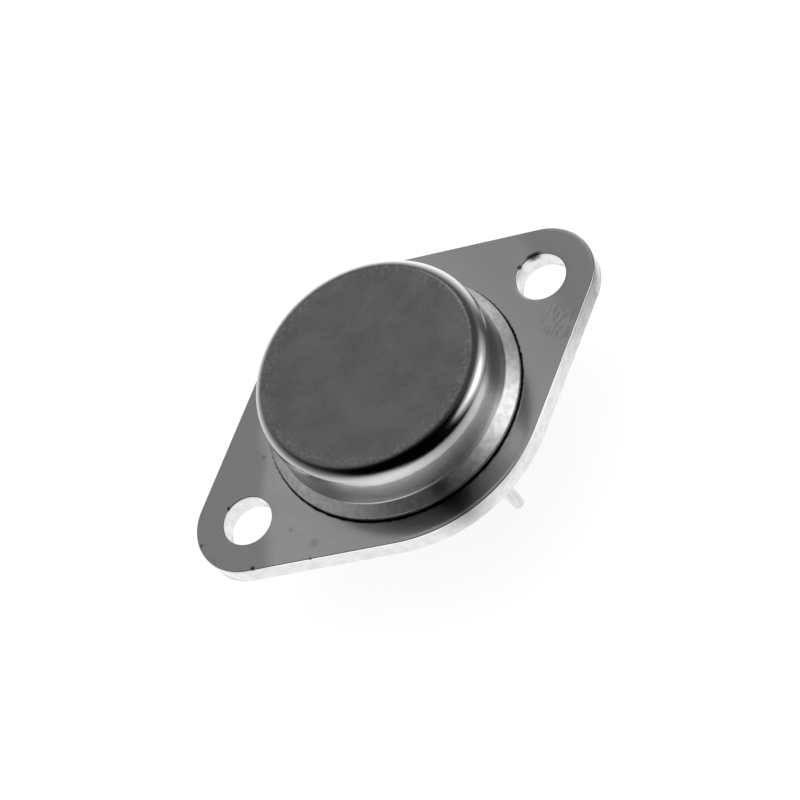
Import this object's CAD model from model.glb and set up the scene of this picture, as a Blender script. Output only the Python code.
import math
import bmesh
import bpy
from mathutils import Matrix, Vector


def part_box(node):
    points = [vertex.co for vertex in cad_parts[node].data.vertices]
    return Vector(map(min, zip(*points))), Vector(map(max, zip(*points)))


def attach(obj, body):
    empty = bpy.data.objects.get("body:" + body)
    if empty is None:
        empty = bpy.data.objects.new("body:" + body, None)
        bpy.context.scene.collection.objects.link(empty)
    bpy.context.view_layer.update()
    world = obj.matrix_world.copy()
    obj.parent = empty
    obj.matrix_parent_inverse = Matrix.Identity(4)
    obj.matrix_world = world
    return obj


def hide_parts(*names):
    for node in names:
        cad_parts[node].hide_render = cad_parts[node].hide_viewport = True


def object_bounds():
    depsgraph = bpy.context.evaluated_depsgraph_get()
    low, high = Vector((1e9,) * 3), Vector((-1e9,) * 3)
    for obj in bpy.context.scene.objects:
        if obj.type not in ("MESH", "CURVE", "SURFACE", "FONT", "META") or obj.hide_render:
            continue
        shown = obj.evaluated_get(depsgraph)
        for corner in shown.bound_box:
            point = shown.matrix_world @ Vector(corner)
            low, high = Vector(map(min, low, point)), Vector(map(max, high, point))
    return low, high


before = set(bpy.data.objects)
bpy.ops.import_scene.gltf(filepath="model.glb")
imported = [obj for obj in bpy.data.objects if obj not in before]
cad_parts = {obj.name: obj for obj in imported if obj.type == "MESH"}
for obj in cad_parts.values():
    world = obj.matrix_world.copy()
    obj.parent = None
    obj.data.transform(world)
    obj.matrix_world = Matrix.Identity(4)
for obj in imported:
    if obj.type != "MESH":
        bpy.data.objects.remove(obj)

# The frame's own box, kept beside the finished model's box at the end of the file.
cad_low, cad_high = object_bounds()
mm = 0.001


# Camera. A long lens above the near edge of the header, rolled so that the part lies across the view
# from lower left to upper right. It aims just in front of the part's centre, on the header's face.
header_low, header_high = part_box("header")
aim = Vector((0.27 * mm, -0.49 * mm, header_high.z))
view_azimuth = math.radians(0.62)
view_elevation = math.radians(53.44)
view_roll = math.radians(-39.3)
view_distance = 219.3 * mm

camera = bpy.data.objects.new("camera", bpy.data.cameras.new("camera"))
bpy.context.scene.collection.objects.link(camera)
bpy.context.scene.camera = camera
camera.data.sensor_width = 36
camera.data.lens = 125.2
camera.data.clip_start = 10 * mm
camera.data.clip_end = 20
camera.matrix_world = (
    Matrix.Translation(aim)
    @ Matrix.Rotation(-view_azimuth, 4, "Z")
    @ Matrix.Rotation(math.pi / 2 - view_elevation, 4, "X")
    @ Matrix.Rotation(view_roll, 4, "Z")
    @ Matrix.Translation((0, 0, view_distance))
)
bpy.context.scene.view_settings.view_transform = "Standard"


# Studio. A dim room round the part, bright below the horizon and dark overhead. Soft boxes and dark
# screens stand in it, and each is a soft-edged patch at an azimuth from +X and an elevation.
def add(tree, kind, links=None, **settings):
    """Adds one shader node: settings are its properties, and links are its sockets' values or sources.

    A Mix node of numbers takes its factor at 0 and its values at 2 and 3, and answers at 0. One of
    colours takes its factor at 0 and its colours at 6 and 7, and answers at 2.
    """
    made = tree.nodes.new("ShaderNode" + kind)
    for name, value in settings.items():
        setattr(made, name, value)
    for socket, value in (links or {}).items():
        if isinstance(value, bpy.types.NodeSocket):
            tree.links.new(value, made.inputs[socket])
        else:
            made.inputs[socket].default_value = value
    return made


def direction(azimuth, elevation):
    """The unit vector at an azimuth from +X and an elevation, both in degrees."""
    a, e = math.radians(azimuth), math.radians(elevation)
    return Vector((math.cos(a) * math.cos(e), math.sin(a) * math.cos(e), math.sin(e)))


def soft_patch(tree, looking, azimuth, elevation, half_width, softness):
    """A mask that is 1 within a cone of directions and fades to 0 round it, with angles in degrees."""
    facing = add(tree, "VectorMath", {0: looking, 1: direction(azimuth, elevation)},
                 operation="DOT_PRODUCT").outputs["Value"]
    return add(tree, "MapRange", {
        "Value": facing,
        "From Min": math.cos(math.radians(half_width + softness)),
        "From Max": math.cos(math.radians(half_width - softness)),
    }, interpolation_type="SMOOTHSTEP").outputs["Result"]


def room_light(tree, looking):
    """The room's brightness in the direction of a unit vector."""
    height = add(tree, "SeparateXYZ", {0: looking}).outputs["Z"]
    level = add(tree, "MapRange", {
        "Value": height, "From Min": -0.34, "From Max": 0.68, "To Min": 1.1, "To Max": 0.03,
    }, interpolation_type="SMOOTHSTEP").outputs["Result"]
    # Dark screens, the first two of them round the camera, and the brightness that each one leaves
    for azimuth, elevation, half_width, softness, left in [
        (-75, 20, 50, 14, 0.0),
        (-128, 45, 35, 12, 0.0),
        (-10, -4, 29, 12, 0.15),
    ]:
        dark = soft_patch(tree, looking, azimuth, elevation, half_width, softness)
        level = add(tree, "Mix", {0: dark, 2: level, 3: left}, data_type="FLOAT").outputs[0]
    # Soft boxes, and the brightness that each one adds
    for azimuth, elevation, half_width, softness, brightness in [
        (-29, 18, 12, 10, 2.0),
        (-29, 17, 22, 19, 1.2),
        (-48, 28, 9, 8, 0.8),
        (57, -4, 24, 16, 0.7),
        (66, 47, 5, 3, 1.2),
        (25, 52, 28, 14, 0.10),
        (108, 54, 22, 16, 0.34),
    ]:
        lit = soft_patch(tree, looking, azimuth, elevation, half_width, softness)
        level = add(tree, "Math", {0: lit, 1: brightness, 2: level}, operation="MULTIPLY_ADD").outputs[0]
    return level


world = bpy.data.worlds.new("studio")
bpy.context.scene.world = world
world.use_nodes = True
tree = world.node_tree
tree.nodes.clear()
level = room_light(tree, add(tree, "TexCoord").outputs["Generated"])
seen = add(tree, "LightPath").outputs["Is Camera Ray"]
shown = add(tree, "Mix", {0: seen, 2: level, 3: 1.0}, data_type="FLOAT").outputs[0]
sky = add(tree, "Background", {"Strength": shown})
add(tree, "OutputWorld", {"Surface": sky.outputs["Background"]})

# The overhead lamp lights the floor and the glass. Metal shows the room instead of the lamp.
lamp_size = 1.2
lamp_height = 1.2
lamp = bpy.data.objects.new("overhead_lamp", bpy.data.lights.new("overhead_lamp", "AREA"))
bpy.context.scene.collection.objects.link(lamp)
lamp.data.size = lamp_size
lamp.data.energy = 18
lamp.location = (0, 0, lamp_height)
lamp.visible_glossy = False
lamp.visible_camera = False


# Floor. White paper under the lead ends, which stays white to the camera and keeps part of the part's
# shadow. In the metal it carries the room's brightness on below the horizon.
def srgb(code):
    """A hex colour such as #8f8f8f as linear RGBA."""
    parts = [int(code[i:i + 2], 16) / 255 for i in (1, 3, 5)]
    return [c / 12.92 if c <= 0.04045 else ((c + 0.055) / 1.055) ** 2.4 for c in parts] + [1]


floor_size = 8

bm = bmesh.new()
bmesh.ops.create_grid(bm, x_segments=1, y_segments=1, size=floor_size / 2,
                      matrix=Matrix.Translation((0, 0, cad_low.z)))
floor = bpy.data.objects.new("floor", bpy.data.meshes.new("floor"))
bpy.context.scene.collection.objects.link(floor)
bm.to_mesh(floor.data)
bm.free()

# Uncoated white paper, evenly pale to the eye. Most of it glows at a little over white, and the rest is
# matt and holds the shadow. In metal it shows the room's light as seen from the middle of the cap.
paper_glow = 1.04
glow_share = 0.88
cap_middle = (0, 0, 6 * mm)
paper = bpy.data.materials.new("white_paper")
paper.use_nodes = True
paper.cycles.emission_sampling = "NONE"
floor.data.materials.append(paper)
tree = paper.node_tree
tree.nodes.clear()
path = add(tree, "LightPath")
place = add(tree, "TexCoord").outputs["Object"]
below = add(tree, "VectorMath", {0: place, 1: cap_middle}, operation="SUBTRACT").outputs["Vector"]
looking = add(tree, "VectorMath", {0: below}, operation="NORMALIZE").outputs["Vector"]
level = room_light(tree, looking)
seen = path.outputs["Is Camera Ray"]
in_metal = path.outputs["Is Glossy Ray"]
level = add(tree, "Mix", {0: in_metal, 2: paper_glow, 3: level}, data_type="FLOAT").outputs[0]
share = add(tree, "Mix", {0: seen, 2: 0.0, 3: glow_share}, data_type="FLOAT").outputs[0]
share = add(tree, "Mix", {0: in_metal, 2: share, 3: 1.0}, data_type="FLOAT").outputs[0]
matt = add(tree, "BsdfDiffuse", {"Color": srgb("#f4f4f4")})
glow = add(tree, "Emission", {"Strength": level})
mixed = add(tree, "MixShader", {0: share, 1: matt.outputs["BSDF"], 2: glow.outputs["Emission"]})
add(tree, "OutputMaterial", {"Surface": mixed.outputs["Shader"]})


# Header. A plate blanked from steel and nickel plated, with rolled upper edges where the punch
# pressed. It has a mounting hole at each end, and two holes that the glass seals fill.
header_length = header_high.x - header_low.x
header_width = header_high.y - header_low.y
header_thickness = header_high.z - header_low.z
end_radius = 4.45 * mm
hole_radius = 2.075 * mm
hole_x = header_length / 2 - end_radius
seal_low, seal_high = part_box("base_seal")
seal_radius = (seal_high.x - seal_low.x) / 2
seal_x = (seal_low.x + seal_high.x) / 2
lead_y = abs(seal_low.y + seal_high.y) / 2
rolled_edge = 0.08 * mm
burr_edge = 0.05 * mm
edge_border = 0.4 * mm
# The straight edges touch both round ends and the round middle at this angle from +X
edge_angle = math.acos((header_width / 2 - end_radius) / hole_x)


def piece(name, bm, material, slot, *nodes):
    """Ends a mesh as a named object that stands for the given frame nodes."""
    made = bpy.data.objects.new(name, bpy.data.meshes.new(name))
    bpy.context.scene.collection.objects.link(made)
    bmesh.ops.recalc_face_normals(bm, faces=bm.faces)
    for face in bm.faces:
        face.smooth = True
    bm.to_mesh(made.data)
    bm.free()
    made.data.set_sharp_from_angle(angle=math.radians(40))
    even = made.modifiers.new("even_normals", "WEIGHTED_NORMAL")
    even.keep_sharp = True
    made.data.materials.append(material)
    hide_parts(*nodes)
    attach(made, "root")


def arc(bm, start, centre, turn, steps):
    """Sweeps a point about an upright axis, and returns the arc's first and last point."""
    first = bm.verts.new(start)
    swept = bmesh.ops.spin(bm, geom=[first], cent=centre, axis=(0, 0, 1), angle=turn, steps=steps)
    last = [v for v in swept["geom_last"] if isinstance(v, bmesh.types.BMVert)][0]
    return first, last


# A quarter of the outline is drawn and mirrored twice. The filled plate then gets a narrow border, so
# that its long triangles stay clear of the rounded edges, and is raised to its thickness.
bm = bmesh.new()
_, end_stop = arc(bm, (hole_x + end_radius, 0, 0), (hole_x, 0, 0), edge_angle, 40)
tangent = direction(math.degrees(edge_angle), 0) * header_width / 2
middle_start, _ = arc(bm, tangent, (0, 0, 0), math.pi / 2 - edge_angle, 40)
bm.edges.new((end_stop, middle_start))
for axis in ("X", "Y"):
    bmesh.ops.mirror(bm, geom=bm.verts[:] + bm.edges[:], axis=axis, merge_dist=0.001 * mm)
for x, y, radius in [
    (hole_x, 0, hole_radius),
    (-hole_x, 0, hole_radius),
    (seal_x, lead_y, seal_radius),
    (seal_x, -lead_y, seal_radius),
]:
    bmesh.ops.create_circle(bm, segments=96, radius=radius, matrix=Matrix.Translation((x, y, 0)))
bmesh.ops.triangle_fill(bm, edges=bm.edges[:], use_beauty=True)
bmesh.ops.inset_region(bm, faces=bm.faces[:], thickness=edge_border, use_boundary=True, use_even_offset=True)
raised = bmesh.ops.extrude_face_region(bm, geom=bm.faces[:])
bmesh.ops.translate(bm, vec=(0, 0, header_thickness),
                    verts=[v for v in raised["geom"] if isinstance(v, bmesh.types.BMVert)])
bmesh.ops.recalc_face_normals(bm, faces=bm.faces)
corners = [e for e in bm.edges if e.calc_face_angle(0) > math.radians(60)]
upper = [e for e in corners if e.verts[0].co.z > header_thickness / 2]
lower = [e for e in corners if e.verts[0].co.z < header_thickness / 2]
for edges, width, segments in [(upper, rolled_edge, 5), (lower, burr_edge, 2)]:
    bmesh.ops.bevel(bm, geom=edges, affect="EDGES", offset=width, segments=segments, profile=0.5, material=-1)
bmesh.ops.translate(bm, vec=(0, 0, header_low.z), verts=bm.verts)


def beyond(tree, place, azimuth, distance, softness):
    """A mask that rises to 1 past a straight line, which lies at a distance from the centre."""
    out = add(tree, "VectorMath", {0: place, 1: direction(azimuth, 0)},
              operation="DOT_PRODUCT").outputs["Value"]
    return add(tree, "MapRange", {
        "Value": out, "From Min": distance - softness, "From Max": distance + softness,
    }, interpolation_type="SMOOTHSTEP").outputs["Result"]


def blot(tree, place, x, y, z, radius, softness):
    """A mask that is 1 round a point and fades to 0 outside it."""
    away = add(tree, "VectorMath", {0: place, 1: (x, y, z)}, operation="DISTANCE").outputs["Value"]
    return add(tree, "MapRange", {
        "Value": away, "From Min": radius + softness, "From Max": radius - softness,
    }, interpolation_type="SMOOTHSTEP").outputs["Result"]


def wander(tree, place, size, reach):
    """A place that strays by up to a reach, so that a mask's outline is uneven."""
    noise = add(tree, "TexNoise", {"Vector": place, "Scale": 1 / size, "Detail": 3}).outputs["Color"]
    centred = add(tree, "VectorMath", {0: noise, 1: (0.5, 0.5, 0.5)}, operation="SUBTRACT").outputs["Vector"]
    stray = add(tree, "VectorMath", {0: centred, "Scale": 2 * reach}, operation="SCALE").outputs["Vector"]
    return add(tree, "VectorMath", {0: place, 1: stray}, operation="ADD").outputs["Vector"]


# Electroplated nickel on blanked steel is a neutral grey mirror, a little dulled by handling. The flat
# face shows the room in soft shapes, and the sheared sides look paler and flecked.
plating_clouds = 3 * mm
torn_flecks = 0.7 * mm
finger_ridges = 0.25 * mm
plating_pits = 0.12 * mm

nickel_plate = bpy.data.materials.new("nickel_plated_steel")
nickel_plate.use_nodes = True
tree = nickel_plate.node_tree
metal = tree.nodes["Principled BSDF"]
metal.inputs["Metallic"].default_value = 1
place = add(tree, "TexCoord").outputs["Object"]
height = add(tree, "SeparateXYZ", {0: place}).outputs["Z"]
uneven = wander(tree, place, 5 * mm, 1.2 * mm)
ragged = wander(tree, place, 0.3 * mm, 0.12 * mm)

# The flat face is clouded, greyer toward the right end, and dulled at both ends where it was handled
clouds = add(tree, "TexNoise", {"Vector": place, "Scale": 1 / plating_clouds, "Detail": 5, "Roughness": 0.6})
clouds = add(tree, "MapRange", {"Value": clouds.outputs["Fac"], "From Min": 0.3, "From Max": 0.7})
face_tone = add(tree, "Mix", {
    0: clouds.outputs["Result"], 6: srgb("#e8e8e8"), 7: srgb("#f4f4f4"),
}, data_type="RGBA").outputs[2]
for dulled, code in [
    (beyond(tree, place, 0, 10 * mm, 4 * mm), "#d9d9d9"),
    (beyond(tree, uneven, 149, 11.3 * mm, 0.8 * mm), "#cecece"),
    (beyond(tree, uneven, -10, 15.4 * mm, 0.8 * mm), "#c6c6c6"),
]:
    face_tone = add(tree, "Mix", {0: dulled, 6: face_tone, 7: srgb(code)}, data_type="RGBA").outputs[2]

# The sides are torn into flecks where the punch broke through
torn = add(tree, "TexNoise", {"Vector": place, "Scale": 1 / torn_flecks, "Detail": 5})
torn = add(tree, "MapRange", {"Value": torn.outputs["Fac"], "From Min": 0.4, "From Max": 0.65})
side_tone = add(tree, "Mix", {
    0: torn.outputs["Result"], 6: srgb("#e2e2e2"), 7: srgb("#d4d4d4"),
}, data_type="RGBA").outputs[2]
on_face = add(tree, "MapRange", {
    "Value": height, "From Min": header_high.z - 0.3 * mm, "From Max": header_high.z - 0.1 * mm,
}).outputs["Result"]
tone = add(tree, "Mix", {0: on_face, 6: side_tone, 7: face_tone}, data_type="RGBA").outputs[2]

# A fingertip left ridges beside the right hole, along the near edge
along = add(tree, "Mapping", {
    "Vector": place, "Rotation": (0, 0, math.radians(30)), "Scale": (4, 1, 1),
}, vector_type="TEXTURE").outputs["Vector"]
ridge = add(tree, "TexNoise", {"Vector": along, "Scale": 1 / finger_ridges, "Detail": 1}).outputs["Fac"]
ridge = add(tree, "MapRange", {"Value": ridge, "From Min": 0.50, "From Max": 0.62}).outputs["Result"]
touched = blot(tree, place, 14.1 * mm, -4.5 * mm, header_high.z, 1.7 * mm, 0.5 * mm)
ridges = add(tree, "Math", {0: ridge, 1: touched}, operation="MULTIPLY").outputs["Value"]

# A burr stands along part of the right hole's rim
rim = blot(tree, place, hole_x, 0, header_high.z, hole_radius + 0.3 * mm, 0.1 * mm)
raised_part = blot(tree, ragged, 15.8 * mm, 2.2 * mm, header_high.z, 0.6 * mm, 0.3 * mm)
burr = add(tree, "Math", {0: rim, 1: raised_part}, operation="MULTIPLY").outputs["Value"]

# Small spots, and nicks along the near edge and round the holes' rims. Each row holds a mark's place
# from the part's middle, its size in millimetres and its tone.
marks = [(ridges, "#c0c0c0")]
for x, y, size, code in [
    (-11.0, 3.8, 0.20, "#b8b8b8"),
    (-19.2, 1.0, 0.16, "#909090"),
    (-19.0, -0.9, 0.20, "#c4c4c4"),
    (-12.0, -5.8, 0.35, "#d8d8d8"),
    (-12.8, -3.4, 0.22, "#dcdcdc"),
    (17.8, 1.6, 0.4, "#c8c8c8"),
    (-17.0, -3.9, 0.18, "#505050"),
    (-13.0, -6.7, 0.12, "#404040"),
    (-15.7, 2.1, 0.14, "#404040"),
    (14.3, 2.0, 0.2, "#606060"),
]:
    spot = blot(tree, ragged, x * mm, y * mm, header_high.z, size * mm, size * 0.6 * mm)
    marks.append((spot, code))

# A dull film lies in front of the cap, and dark grime has gathered under the cap's brim
film = blot(tree, uneven, -1.5 * mm, -11.3 * mm, header_high.z, 1.8 * mm, 1.6 * mm)
grime = blot(tree, ragged, 0, 0, header_high.z, 10.88 * mm, 0.08 * mm)
marks += [(burr, "#484848"), (film, "#5c5c5c"), (grime, "#1c1c1c")]
for mark, code in marks:
    tone = add(tree, "Mix", {0: mark, 6: tone, 7: srgb(code)}, data_type="RGBA").outputs[2]
tree.links.new(tone, metal.inputs["Base Color"])

# Fine pits under the plating spread the shine. Real ones are finer, and these are coarse enough to show.
pits = add(tree, "TexNoise", {"Vector": place, "Scale": 1 / plating_pits, "Detail": 2}).outputs["Fac"]
rough = add(tree, "MapRange", {
    "Value": pits, "From Min": 0.35, "From Max": 0.65, "To Min": 0.14, "To Max": 0.26,
}).outputs["Result"]
tree.links.new(rough, metal.inputs["Roughness"])
bump = add(tree, "Bump", {"Height": pits, "Strength": 0.1, "Distance": 0.005 * mm})
tree.links.new(bump.outputs["Normal"], metal.inputs["Normal"])
piece("header_plate", bm, nickel_plate, "header_plate", "header")


# Cap. Drawn from steel sheet in one piece, nickel plated, and welded to the header round its brim.
# The wall leans in a little below the shoulder, where the sheet thinned as it was drawn. The brim
# slopes down to a thin edge, and a weld ring holds that edge just clear of the plate.
cap_low, cap_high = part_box("cap")
brim_radius = (cap_high.x - cap_low.x) / 2
brim_width = 0.9 * mm
brim_edge = 0.3 * mm
wall_radius = brim_radius - brim_width
sheet = 1.0 * mm
weld_gap = 0.2 * mm
weld_width = 0.4 * mm
weld_radius = wall_radius + brim_width / 2
brim_low = cap_low.z + weld_gap
brim_foot = brim_low + brim_edge + brim_width
shoulder_round = 1.0 * mm
lean_start = 1.5 * mm
lean_round = 0.49 * mm
wall_lean = math.radians(10)
inner_bend = 1.1 * mm
edge_round = 0.12 * mm


def section(bm, outline):
    """Outlines a half section. Each corner is a radius, a height, its rounding and the rounding's steps."""
    corners = [bm.verts.new((r, 0, z)) for r, z, *_ in outline]
    bm.faces.new(corners)
    for corner, (_, _, rounding, segments) in zip(corners, outline):
        if rounding:
            bmesh.ops.bevel(bm, geom=[corner], affect="VERTICES", offset=rounding, segments=segments,
                            profile=0.5, material=-1)
    bmesh.ops.delete(bm, geom=bm.faces[:], context="FACES_ONLY")


def turn(bm, steps):
    """Turns the half section about the upright axis into a closed solid."""
    on_axis = [e for e in bm.edges if all(v.co.xy.length < 0.001 * mm for v in e.verts)]
    bmesh.ops.delete(bm, geom=on_axis, context="EDGES")
    bmesh.ops.spin(bm, geom=bm.verts[:] + bm.edges[:], axis=(0, 0, 1), angle=2 * math.pi, steps=steps,
                   use_merge=True)
    bmesh.ops.remove_doubles(bm, verts=bm.verts, dist=0.0005 * mm)


bm = bmesh.new()
section(bm, [
    (0, cap_high.z, 0, 0),
    (wall_radius - lean_start * math.tan(wall_lean), cap_high.z, shoulder_round, 16),
    (wall_radius, cap_high.z - lean_start, lean_round, 6),
    (wall_radius, brim_foot, edge_round, 8),
    (brim_radius, brim_low + brim_edge, 0.05 * mm, 5),
    (brim_radius, brim_low, edge_round, 4),
    (weld_radius + weld_width / 2 + weld_gap, brim_low, 0, 0),
    (weld_radius + weld_width / 2, cap_low.z, 0, 0),
    (weld_radius - weld_width / 2, cap_low.z, 0, 0),
    (weld_radius - weld_width / 2 - weld_gap / 2, brim_low, 0, 0),
    (wall_radius - sheet, brim_low, inner_bend, 8),
    (wall_radius - sheet, cap_high.z - sheet, 0.25 * mm, 4),
    (0, cap_high.z - sheet, 0, 0),
])
turn(bm, 192)

# Electroplated nickel on drawn steel. The shoulder is polished by the die and mirrors the room, the
# wall shows a sharp reflection over a soft one, and the top and brim are greyer and more matt.
drawing_lines = 0.5 * mm
top_clouds = 4 * mm
brim_mottle = 0.5 * mm
top_flecks = 0.3 * mm
burnished_grain = 0.03 * mm

nickel_cap = bpy.data.materials.new("nickel_plated_drawn_steel")
nickel_cap.use_nodes = True
tree = nickel_cap.node_tree
metal = tree.nodes["Principled BSDF"]
metal.inputs["Metallic"].default_value = 1
place = add(tree, "TexCoord").outputs["Object"]
height = add(tree, "SeparateXYZ", {0: place}).outputs["Z"]
flat = add(tree, "Mapping", {"Vector": place, "Scale": (1, 1, 0)}).outputs["Vector"]
radius = add(tree, "VectorMath", {0: flat}, operation="LENGTH").outputs["Value"]
on_wall = add(tree, "MapRange", {
    "Value": height, "From Min": cap_high.z - 0.7 * mm, "From Max": cap_high.z - 1.3 * mm,
}).outputs["Result"]
on_brim = add(tree, "MapRange", {
    "Value": radius, "From Min": wall_radius + 0.02 * mm, "From Max": wall_radius + 0.12 * mm,
}).outputs["Result"]
on_top = add(tree, "MapRange", {
    "Value": height, "From Min": cap_high.z - 0.16 * mm, "From Max": cap_high.z - 0.02 * mm,
}).outputs["Result"]
clouds = add(tree, "TexNoise", {
    "Vector": place, "Scale": 1 / top_clouds, "Detail": 6, "Roughness": 0.65,
}).outputs["Fac"]
shoulder_tone = add(tree, "Mix", {
    0: clouds, 6: srgb("#acacac"), 7: srgb("#b8b8b8"),
}, data_type="RGBA").outputs[2]

# The die drew the wall out in fine upright lines, and the plating has dulled in two stretches of it
lengthwise = add(tree, "Mapping", {"Vector": place, "Scale": (1, 1, 0.05)}).outputs["Vector"]
drawn = add(tree, "TexNoise", {"Vector": lengthwise, "Scale": 1 / drawing_lines, "Detail": 4}).outputs["Fac"]
wall_tone = add(tree, "Mix", {0: drawn, 6: srgb("#d8d8d8"), 7: srgb("#eeeeee")}, data_type="RGBA").outputs[2]
for azimuth, code in [(-32, "#888888"), (-162, "#b0b0b0")]:
    dulled = beyond(tree, place, azimuth, 9.3 * mm, 0.4 * mm)
    wall_tone = add(tree, "Mix", {0: dulled, 6: wall_tone, 7: srgb(code)}, data_type="RGBA").outputs[2]

# The brim is mottled by the heat of the weld, with a dark stain at the front
mottle = add(tree, "TexNoise", {"Vector": place, "Scale": 1 / brim_mottle, "Detail": 5}).outputs["Fac"]
mottle = add(tree, "MapRange", {"Value": mottle, "From Min": 0.42, "From Max": 0.62}).outputs["Result"]
stain = blot(tree, place, -1.7 * mm, -10.1 * mm, 2.8 * mm, 0.7 * mm, 0.6 * mm)
brim_tone = add(tree, "Mix", {0: mottle, 6: srgb("#dadada"), 7: srgb("#c6c6c6")}, data_type="RGBA").outputs[2]
brim_tone = add(tree, "Mix", {0: stain, 6: brim_tone, 7: srgb("#888888")}, data_type="RGBA").outputs[2]

# The top is clouded, with flecks in it, most of them near its edge
clouds = add(tree, "MapRange", {"Value": clouds, "From Min": 0.38, "From Max": 0.62}).outputs["Result"]
top_tone = add(tree, "Mix", {0: clouds, 6: srgb("#959595"), 7: srgb("#a5a5a5")}, data_type="RGBA").outputs[2]
flecks = add(tree, "TexNoise", {"Vector": place, "Scale": 1 / top_flecks, "Detail": 2}).outputs["Fac"]
flecks = add(tree, "MapRange", {"Value": flecks, "From Min": 0.5, "From Max": 0.7}).outputs["Result"]
near_edge = add(tree, "MapRange", {
    "Value": radius, "From Min": 7.6 * mm, "From Max": 8.5 * mm, "To Min": 0.15,
}).outputs["Result"]
flecks = add(tree, "Math", {0: flecks, 1: near_edge}, operation="MULTIPLY").outputs["Value"]
top_tone = add(tree, "Mix", {0: flecks, 6: top_tone, 7: srgb("#b6b6b6")}, data_type="RGBA").outputs[2]

tone = shoulder_tone
for mask, finish in [(on_wall, wall_tone), (on_brim, brim_tone), (on_top, top_tone)]:
    tone = add(tree, "Mix", {0: mask, 6: tone, 7: finish}, data_type="RGBA").outputs[2]
tree.links.new(tone, metal.inputs["Base Color"])

# On the wall the high spots are burnished and the pits between them are matt. The grain is drawn
# finer than it shows, so the eye sees a sharp reflection laid over a soft one.
grain = add(tree, "TexNoise", {"Vector": place, "Scale": 1 / burnished_grain, "Detail": 1}).outputs["Fac"]
wall_rough = add(tree, "MapRange", {
    "Value": grain, "From Min": 0.42, "From Max": 0.5, "To Min": 0.12, "To Max": 0.5,
}).outputs["Result"]
brim_rough = add(tree, "MapRange", {
    "Value": grain, "From Min": 0.4, "From Max": 0.6, "To Min": 0.32, "To Max": 0.55,
}).outputs["Result"]
rough = 0.14
for mask, finish in [(on_wall, wall_rough), (on_brim, brim_rough), (on_top, 0.26)]:
    rough = add(tree, "Mix", {0: mask, 2: rough, 3: finish}, data_type="FLOAT").outputs[0]
tree.links.new(rough, metal.inputs["Roughness"])
bump = add(tree, "Bump", {"Height": drawn, "Strength": 0.15, "Distance": 0.01 * mm})
tree.links.new(bump.outputs["Normal"], metal.inputs["Normal"])
piece("drawn_cap", bm, nickel_cap, "cap_shell", "cap")


# Leads. Two round wires of nickel-iron with tin plating, each with a flat head inside the cap. They
# pass through the glass, lean slightly toward +X just below the header, and end rounded.
lead_radius = 0.525 * mm
lead_reach = 13 * mm
lead_head_radius = 0.95 * mm
lead_head_height = 0.35 * mm
lead_tip_round = 0.25 * mm
bend_start = 0.3 * mm
bend_radius = 6 * mm
bend_angle = math.radians(1.5)
bend_rings = 6
free_length = (lead_reach - bend_start - bend_radius * math.sin(bend_angle)) / math.cos(bend_angle)
lead_bottom = -bend_start - bend_radius * bend_angle - free_length

# Tin plate on drawn wire is bright and soft. The lines that the die left along it break its reflections
# into long streaks, and they are drawn wider than real ones so that they show.
wire_lines = 0.12 * mm
tinned_wire = bpy.data.materials.new("tin_plated_wire")
tinned_wire.use_nodes = True
tree = tinned_wire.node_tree
metal = tree.nodes["Principled BSDF"]
metal.inputs["Metallic"].default_value = 1
place = add(tree, "TexCoord").outputs["Object"]
lengthwise = add(tree, "Mapping", {"Vector": place, "Scale": (1, 1, 0.06)}).outputs["Vector"]
drawn = add(tree, "TexNoise", {"Vector": lengthwise, "Scale": 1 / wire_lines, "Detail": 2}).outputs["Fac"]
streaks = add(tree, "MapRange", {"Value": drawn, "From Min": 0.35, "From Max": 0.65}).outputs["Result"]
tone = add(tree, "Mix", {0: streaks, 6: srgb("#c8c8c8"), 7: srgb("#dedede")}, data_type="RGBA").outputs[2]
tree.links.new(tone, metal.inputs["Base Color"])
rough = add(tree, "MapRange", {"Value": drawn, "To Min": 0.18, "To Max": 0.34}).outputs["Result"]
tree.links.new(rough, metal.inputs["Roughness"])
bump = add(tree, "Bump", {"Height": drawn, "Strength": 0.1, "Distance": 0.004 * mm})
tree.links.new(bump.outputs["Normal"], metal.inputs["Normal"])

for name in ("base_lead", "emitter_lead"):
    lead_low, lead_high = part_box(name)
    bm = bmesh.new()
    section(bm, [
        (0, lead_high.z, 0, 0),
        (lead_head_radius, lead_high.z, 0.06 * mm, 3),
        (lead_head_radius, lead_high.z - lead_head_height, 0.04 * mm, 2),
        (lead_radius, lead_high.z - lead_head_height, 0, 0),
        (lead_radius, lead_bottom, lead_tip_round, 8),
        (0, lead_bottom, 0, 0),
    ])
    turn(bm, 40)
    for ring in range(bend_rings):
        depth = bend_start + bend_radius * bend_angle * ring / (bend_rings - 1)
        bmesh.ops.bisect_plane(bm, geom=bm.verts[:] + bm.edges[:] + bm.faces[:], plane_no=(0, 0, 1),
                               plane_co=(0, 0, -depth))
    for vert in bm.verts:
        depth = -bend_start - vert.co.z
        if depth > 0:
            turned = min(depth / bend_radius, bend_angle)
            straight = depth - turned * bend_radius
            inside = bend_radius - vert.co.x
            vert.co.x = bend_radius - inside * math.cos(turned) + straight * math.sin(turned)
            vert.co.z = -bend_start - inside * math.sin(turned) - straight * math.cos(turned)
    bmesh.ops.translate(bm, vec=(seal_x, (lead_low.y + lead_high.y) / 2, 0), verts=bm.verts)
    piece(name + "_wire", bm, tinned_wire, "lead_wire", name)


# Glass seals. Sintered glass beads, fused to the lead and to the plate's hole in a furnace. The glass
# draws down between the two as it cools, so each face is a shallow ring-shaped dish.
seal_dish = 0.12 * mm
seal_middle = (seal_radius + lead_radius) / 2

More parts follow.
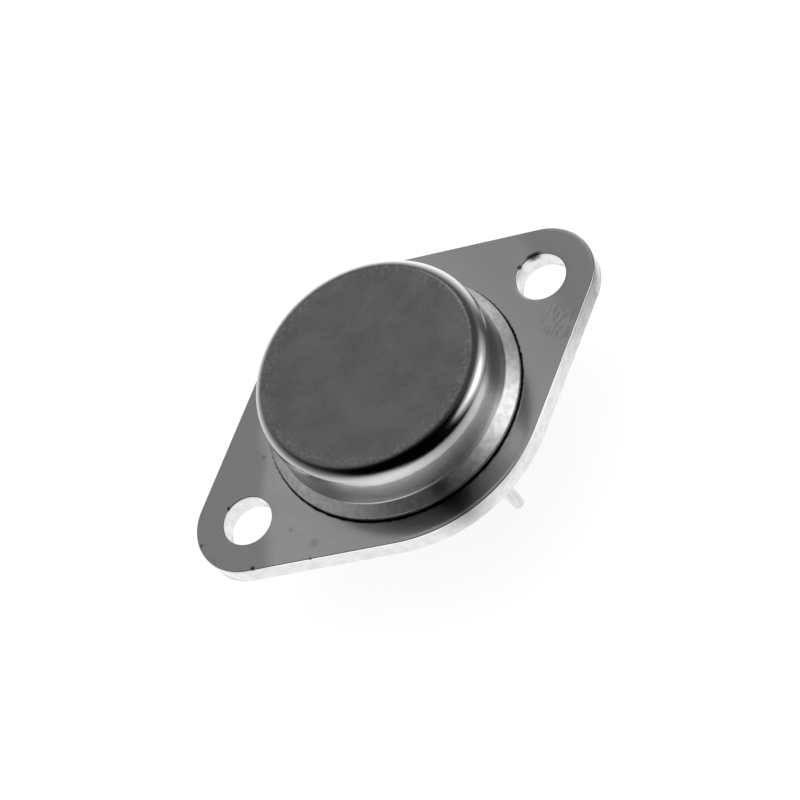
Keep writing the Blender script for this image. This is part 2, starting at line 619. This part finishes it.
# Dark sealing glass, cloudy with swirls and fine bubbles under a smooth fired skin
bubble_spacing = 0.16 * mm
swirl_size = 0.9 * mm
glass = bpy.data.materials.new("sealing_glass")
glass.use_nodes = True
tree = glass.node_tree
vitreous = tree.nodes["Principled BSDF"]
vitreous.inputs["IOR"].default_value = 1.52
vitreous.inputs["Coat Weight"].default_value = 0.4
vitreous.inputs["Coat Roughness"].default_value = 0.04
place = add(tree, "TexCoord").outputs["Object"]
swirl = add(tree, "TexNoise", {
    "Vector": place, "Scale": 1 / swirl_size, "Detail": 3, "Distortion": 0.6,
}).outputs["Fac"]
cloudy = add(tree, "MapRange", {"Value": swirl, "From Min": 0.35, "From Max": 0.7}).outputs["Result"]
tone = add(tree, "Mix", {0: cloudy, 6: srgb("#20282a"), 7: srgb("#3d4a4c")}, data_type="RGBA").outputs[2]
bubbles = add(tree, "TexVoronoi", {"Vector": place, "Scale": 1 / bubble_spacing}, feature="F1")
bubble = add(tree, "MapRange", {
    "Value": bubbles.outputs["Distance"], "From Min": 0.12, "From Max": 0.22, "To Min": 1, "To Max": 0,
}).outputs["Result"]
tone = add(tree, "Mix", {0: bubble, 6: tone, 7: srgb("#76827f")}, data_type="RGBA").outputs[2]
tree.links.new(tone, vitreous.inputs["Base Color"])
rough = add(tree, "MapRange", {"Value": swirl, "To Min": 0.06, "To Max": 0.16}).outputs["Result"]
tree.links.new(rough, vitreous.inputs["Roughness"])

for name in ("base_seal", "emitter_seal"):
    seal_low, seal_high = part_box(name)
    bm = bmesh.new()
    section(bm, [
        (lead_radius, seal_high.z, 0, 0),
        (seal_radius, seal_high.z, 0, 0),
        (seal_radius, seal_low.z, 0, 0),
        (lead_radius, seal_low.z, 0, 0),
    ])
    level_edges = [e for e in bm.edges if abs(e.verts[0].co.z - e.verts[1].co.z) < 0.001 * mm]
    bmesh.ops.subdivide_edges(bm, edges=level_edges, cuts=11)
    for vert in bm.verts:
        across = (vert.co.x - seal_middle) / (seal_radius - seal_middle)
        inward = 1 if vert.co.z < seal_high.z / 2 else -1
        vert.co.z += inward * seal_dish * (1 - across ** 2)
    turn(bm, 64)
    bmesh.ops.translate(bm, vec=(seal_x, (seal_low.y + seal_high.y) / 2, 0), verts=bm.verts)
    piece(name + "_glass", bm, glass, "seal_glass", name)


# Inside the cap. The frame's own pieces keep their shapes: a copper disc brazed to the plate carries
# the silicon chip on soft solder, and aluminium wires are bonded from the chip to the lead heads.
def finish_nodes(names, finish, low_tone, high_tone, grain_size, low_rough, high_rough, metallic, bump_depth):
    """Gives frame nodes one mottled finish, with its grain and the depth of its bump in metres."""
    made = bpy.data.materials.new(finish)
    made.use_nodes = True
    tree = made.node_tree
    surface = tree.nodes["Principled BSDF"]
    surface.inputs["Metallic"].default_value = metallic
    place = add(tree, "TexCoord").outputs["Object"]
    grain = add(tree, "TexNoise", {"Vector": place, "Scale": 1 / grain_size, "Detail": 4}).outputs["Fac"]
    mottle = add(tree, "MapRange", {"Value": grain, "From Min": 0.3, "From Max": 0.7}).outputs["Result"]
    tone = add(tree, "Mix", {0: mottle, 6: srgb(low_tone), 7: srgb(high_tone)}, data_type="RGBA").outputs[2]
    tree.links.new(tone, surface.inputs["Base Color"])
    rough = add(tree, "MapRange", {"Value": grain, "To Min": low_rough, "To Max": high_rough})
    tree.links.new(rough.outputs["Result"], surface.inputs["Roughness"])
    bump = add(tree, "Bump", {"Height": grain, "Strength": 0.3, "Distance": bump_depth})
    tree.links.new(bump.outputs["Normal"], surface.inputs["Normal"])
    for name in names:
        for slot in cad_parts[name].material_slots:
            slot.material = made


# Copper, stamped and bright, with a slight furnace tint
finish_nodes(["heat_spreader"], "furnace_bright_copper", "#b4694a", "#d98f6c",
             0.8 * mm, 0.22, 0.38, 1, 0.004 * mm)
# Silver-copper braze, frozen in a thin rippled fillet
finish_nodes(["spreader_braze"], "silver_braze", "#b9a683", "#e0d2b4",
             0.3 * mm, 0.25, 0.4, 1, 0.01 * mm)
# Soft solder, dull and grainy where it froze
finish_nodes(["die_solder"], "frozen_soft_solder", "#8e9094", "#b9bbbf",
             0.12 * mm, 0.35, 0.55, 1, 0.01 * mm)
# Polished silicon, dark and almost mirror smooth
finish_nodes(["die"], "polished_silicon", "#3c434f", "#4d5664",
             0.6 * mm, 0.06, 0.12, 0, 0.001 * mm)
# Drawn aluminium wire, soft and slightly matt
finish_nodes(["base_wire", "emitter_wire_a", "emitter_wire_b"], "aluminium_bond_wire", "#c9cacc", "#e6e7e9",
             0.08 * mm, 0.22, 0.4, 1, 0.003 * mm)
